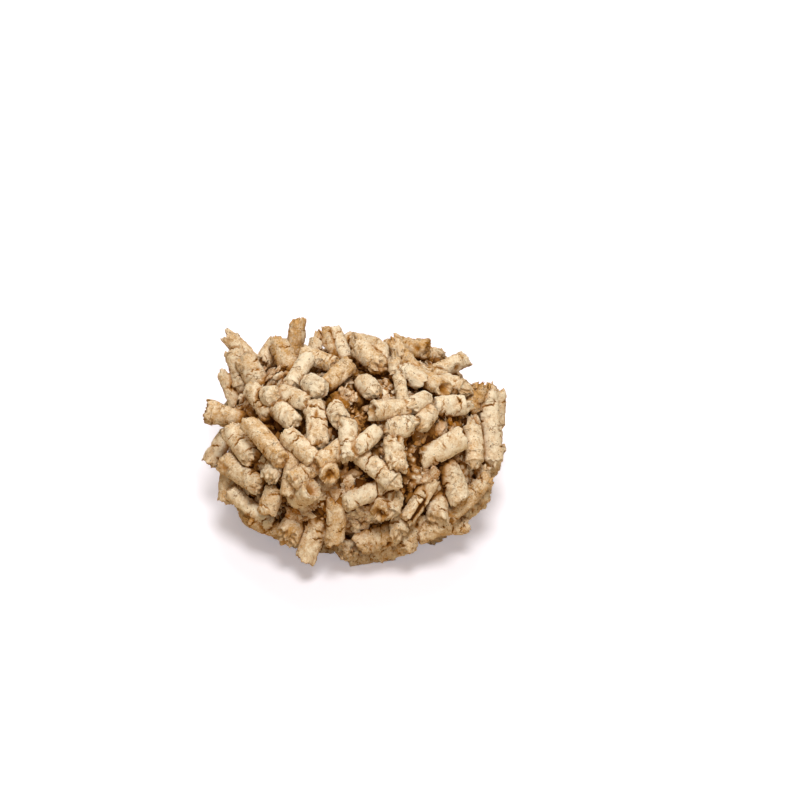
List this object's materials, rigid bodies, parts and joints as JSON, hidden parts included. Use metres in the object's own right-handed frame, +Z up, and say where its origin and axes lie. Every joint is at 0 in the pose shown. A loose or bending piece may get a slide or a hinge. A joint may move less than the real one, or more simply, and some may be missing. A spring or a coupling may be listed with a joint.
{
  "type": "clump of wood pellet cat litter",
  "caption": "Used cat litter: wood pellets that have swollen, crumbled and stuck together into one rounded clump, with whole pellets set in its outside.",
  "frame": {"origin": "on the flat of the underside that rests on the tray, under the middle of the clump", "axes": "+X along the clump's long side, -Y towards the front that the picture shows, +Z up"},
  "size_m": [0.1058, 0.0885, 0.063],
  "materials": {
    "whole_pellet": "dry pressed sawdust, matte",
    "soaked_wood": "damp crumbled sawdust, matte"
  },
  "bodies": {
    "root": {"pellet_01": "whole_pellet", "pellet_02": "whole_pellet", "pellet_03": "whole_pellet", "pellet_04": "whole_pellet", "pellet_05": "whole_pellet", "pellet_06": "whole_pellet", "pellet_07": "whole_pellet", "pellet_08": "whole_pellet", "pellet_09": "whole_pellet", "pellet_10": "whole_pellet", "pellet_11": "whole_pellet", "pellet_12": "whole_pellet", "pellet_13": "whole_pellet", "pellet_14": "whole_pellet", "pellet_15": "whole_pellet", "pellet_16": "whole_pellet", "pellet_17": "whole_pellet", "pellet_18": "whole_pellet", "pellet_19": "whole_pellet", "pellet_20": "whole_pellet", "pellet_21": "whole_pellet", "pellet_22": "whole_pellet", "pellet_23": "whole_pellet", "pellet_24": "whole_pellet", "pellet_25": "whole_pellet", "pellet_26": "whole_pellet", "pellet_27": "whole_pellet", "pellet_28": "whole_pellet", "pellet_29": "whole_pellet", "pellet_30": "whole_pellet", "pellet_31": "whole_pellet", "pellet_32": "whole_pellet", "pellet_33": "whole_pellet", "pellet_34": "whole_pellet", "pellet_35": "whole_pellet", "pellet_36": "whole_pellet", "pellet_37": "whole_pellet", "pellet_38": "whole_pellet", "pellet_39": "whole_pellet", "pellet_40": "whole_pellet", "pellet_41": "whole_pellet", "pellet_42": "whole_pellet", "pellet_43": "whole_pellet", "pellet_44": "whole_pellet", "pellet_45": "whole_pellet", "pellet_46": "whole_pellet", "pellet_47": "whole_pellet", "pellet_48": "whole_pellet", "pellet_49": "whole_pellet", "pellet_50": "whole_pellet", "pellet_51": "whole_pellet", "pellet_52": "whole_pellet", "pellet_53": "whole_pellet", "pellet_54": "whole_pellet", "pellet_55": "whole_pellet", "pellet_56": "whole_pellet", "pellet_57": "whole_pellet", "pellet_58": "whole_pellet", "pellet_59": "whole_pellet", "soaked_core": "soaked_wood"}
  },
  "joints": []
}
